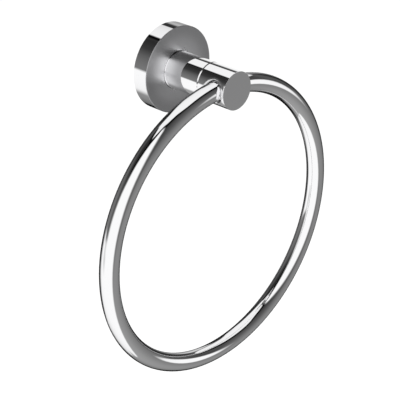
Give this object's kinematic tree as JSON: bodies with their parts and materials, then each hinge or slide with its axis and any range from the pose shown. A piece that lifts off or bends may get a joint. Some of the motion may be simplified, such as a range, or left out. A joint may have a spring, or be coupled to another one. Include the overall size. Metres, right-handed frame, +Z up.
{
  "type": "towel ring",
  "caption": "Wall towel ring: round cover plate, round post with a cross-drilled head, and a closed round ring that hangs and swings in it.",
  "frame": {"origin": "middle of the back face, on the wall, on the post's axis", "axes": "+Z up, the wall is the plane Y = 0 with its outside towards -Y, the post stands out along -Y, and the ring hangs in a plane parallel to XZ"},
  "size_m": [0.166, 0.05, 0.1837],
  "materials": {
    "cover_plate": "polished chrome plate on brass",
    "wall_bracket": "bare machined steel",
    "post": "polished chrome plate on brass",
    "post_head": "polished chrome plate on brass",
    "ring": "polished chrome plate on a brass bar",
    "bracket_set_screw": "dark oxide steel"
  },
  "bodies": {
    "wall_post": {"cover_plate": "cover_plate", "wall_bracket": "wall_bracket", "post": "post", "post_head": "post_head", "bracket_set_screw": "bracket_set_screw"},
    "hanging_ring": {"ring": "ring"}
  },
  "joints": [
    {"name": "ring_swing", "type": "hinge", "parent": "wall_post", "child": "hanging_ring", "pos_m": [0, -0.04241, 0], "axis": [1, 0, 0], "range_deg": [-193, 13]}
  ]
}
